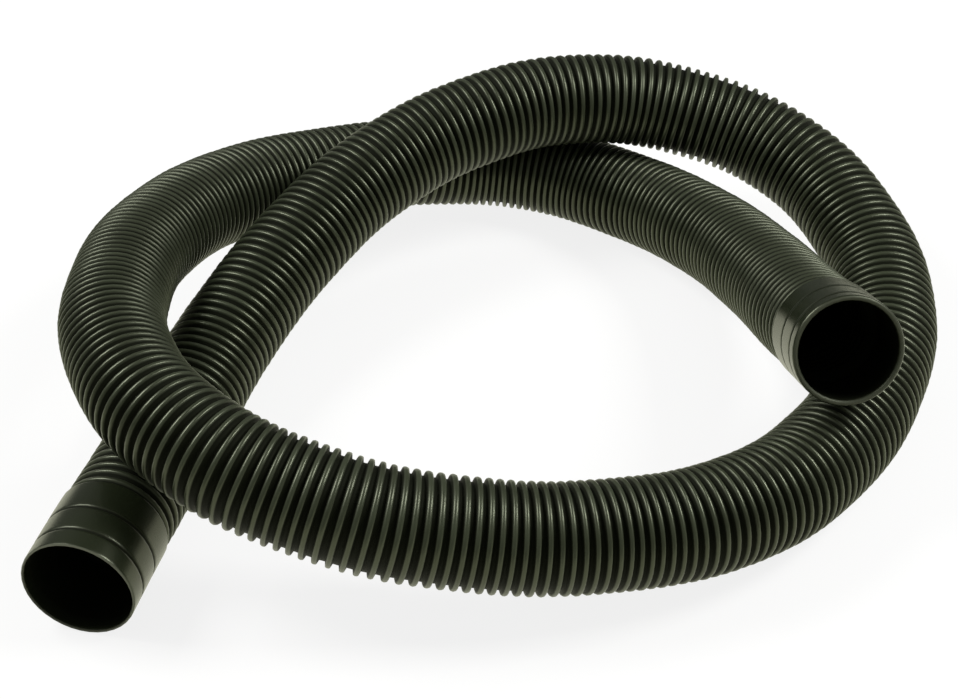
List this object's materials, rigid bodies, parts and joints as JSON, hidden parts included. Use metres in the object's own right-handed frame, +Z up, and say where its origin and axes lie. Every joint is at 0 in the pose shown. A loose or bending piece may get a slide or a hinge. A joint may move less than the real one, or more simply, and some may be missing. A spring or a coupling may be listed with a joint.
{
  "type": "vacuum cleaner hose",
  "caption": "Ribbed flexible suction hose with a plain stepped cuff at each end, lying in a loose overhand knot.",
  "frame": {"origin": "on the surface that the hose lies on, below the middle of the knot", "axes": "+Z up from that surface; the lower cuff runs along Y and its mouth faces -Y"},
  "size_m": [0.3384, 0.3316, 0.0893],
  "materials": {
    "dark_plastic": "satin black plastic with an olive cast, faintly mottled"
  },
  "bodies": {
    "root": {"hose": "dark_plastic"}
  },
  "joints": []
}
